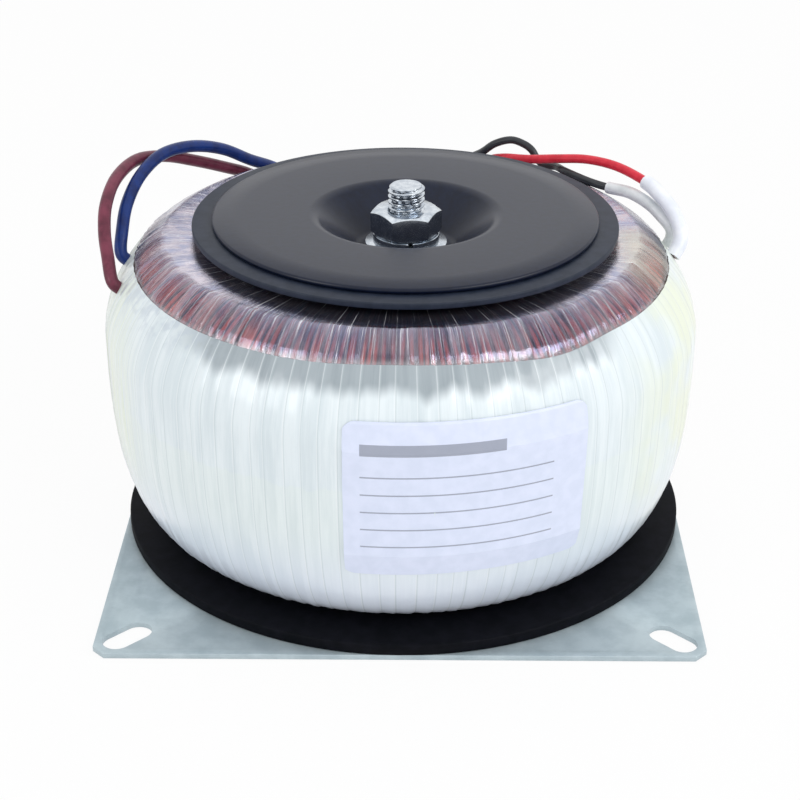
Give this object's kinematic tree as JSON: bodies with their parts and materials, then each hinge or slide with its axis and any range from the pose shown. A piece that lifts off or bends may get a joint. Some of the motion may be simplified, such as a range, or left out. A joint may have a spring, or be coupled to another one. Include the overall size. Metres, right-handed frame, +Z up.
{
  "type": "toroidal transformer",
  "caption": "Ring-shaped power transformer in clear tape, clamped to a square slotted plate by a dished disc and a through bolt, with coloured leads.",
  "frame": {"origin": "middle of the mounting plate's underside, on the bolt's axis", "axes": "+Z up along the bolt, +X to the right and +Y to the back as the label is looked at from the front, with the plate's sides along X and Y"},
  "size_m": [0.1652, 0.2284, 0.1],
  "materials": {
    "mounting_plate": "zinc-coated sheet, matt",
    "base_pad": "matt",
    "core": "wound steel strip",
    "core_tape": "polyester tape",
    "primary_winding": "enamelled copper wire",
    "interwinding_tape": "polyester tape",
    "secondary_winding": "enamelled copper wire",
    "side_band": "white film",
    "outer_wrap": "clear polyester tape",
    "rating_label": "bare",
    "top_pad": "matt",
    "clamp_plate": "satin black",
    "centre_bolt": "zinc-plated",
    "flat_washer": "zinc-plated",
    "lock_washer": "zinc-plated",
    "hex_nut": "zinc-plated",
    "lead_brown": "insulated wire",
    "lead_blue": "insulated wire",
    "lead_black": "insulated wire",
    "lead_red": "insulated wire",
    "sleeve_black": "translucent sleeving",
    "sleeve_red": "translucent sleeving",
    "tip_brown": "tinned strands",
    "tip_blue": "tinned strands",
    "tip_black": "tinned strands",
    "tip_red": "tinned strands"
  },
  "bodies": {
    "root": {"mounting_plate": "mounting_plate", "base_pad": "base_pad", "core": "core", "core_tape": "core_tape", "primary_winding": "primary_winding", "interwinding_tape": "interwinding_tape", "secondary_winding": "secondary_winding", "side_band": "side_band", "outer_wrap": "outer_wrap", "rating_label": "rating_label", "top_pad": "top_pad", "clamp_plate": "clamp_plate", "centre_bolt": "centre_bolt", "flat_washer": "flat_washer", "lock_washer": "lock_washer", "hex_nut": "hex_nut", "lead_brown": "lead_brown", "lead_blue": "lead_blue", "lead_black": "lead_black", "lead_red": "lead_red", "sleeve_black": "sleeve_black", "sleeve_red": "sleeve_red", "tip_brown": "tip_brown", "tip_blue": "tip_blue", "tip_black": "tip_black", "tip_red": "tip_red"}
  },
  "joints": []
}
